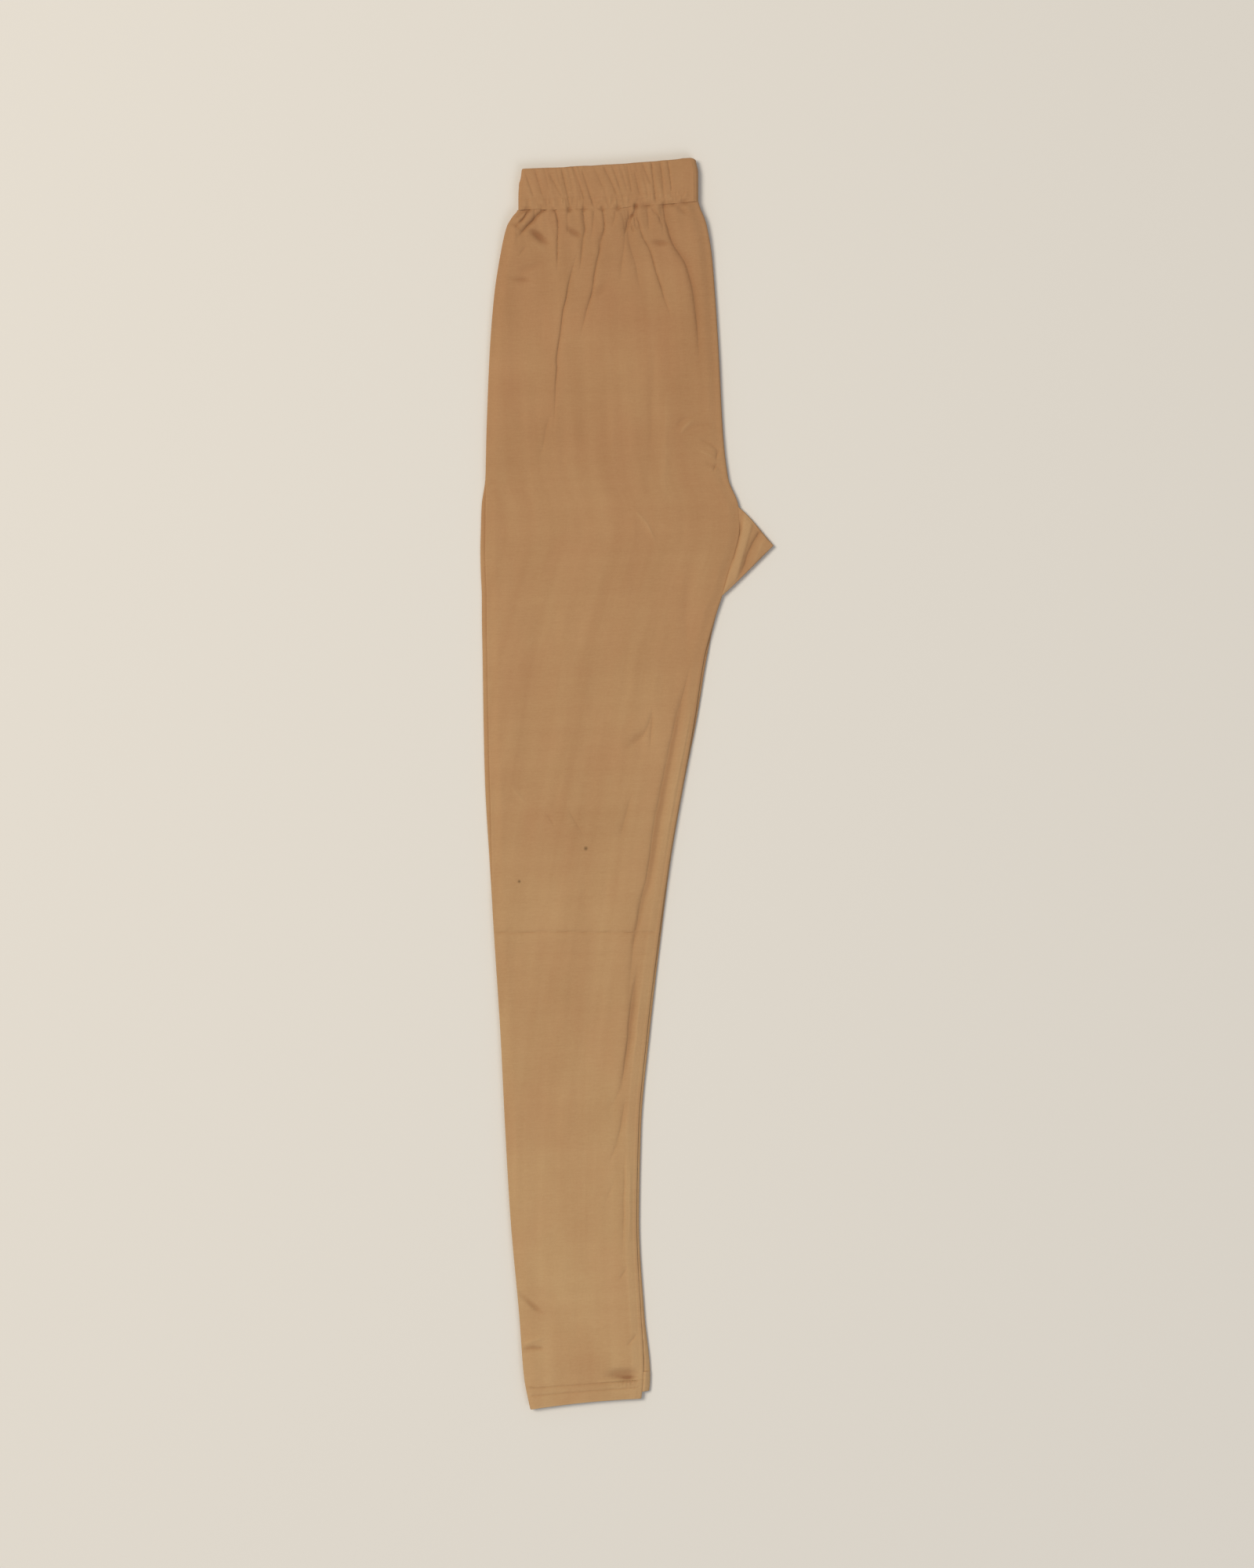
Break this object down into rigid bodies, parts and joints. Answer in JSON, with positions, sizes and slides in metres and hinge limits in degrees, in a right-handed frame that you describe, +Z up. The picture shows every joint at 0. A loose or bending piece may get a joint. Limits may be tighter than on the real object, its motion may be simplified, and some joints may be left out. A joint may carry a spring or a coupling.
{
  "type": "folded leggings",
  "caption": "Ankle-length jersey leggings with a gathered elastic waistband, a crotch gusset and turned-up hems, folded in half lengthwise and laid flat",
  "frame": {"origin": "on the surface that the garment lies on, under the middle of its outline", "axes": "+X to the crotch gusset's side as seen from above, +Y to the waistband, +Z up from the surface"},
  "size_m": [0.2503, 1.0669, 0.0115],
  "materials": {
    "leg_jersey": "tan fine-knit jersey",
    "gusset_jersey": "tan fine-knit jersey, cut on the slant",
    "band_jersey": "tan jersey casing gathered over elastic",
    "hem_jersey": "tan jersey, two cloths thick"
  },
  "bodies": {
    "root": {"upper_leg": "leg_jersey", "lower_leg": "leg_jersey", "crotch_gusset": "gusset_jersey", "waistband": "band_jersey", "upper_hem": "hem_jersey", "lower_hem": "hem_jersey"}
  },
  "joints": []
}
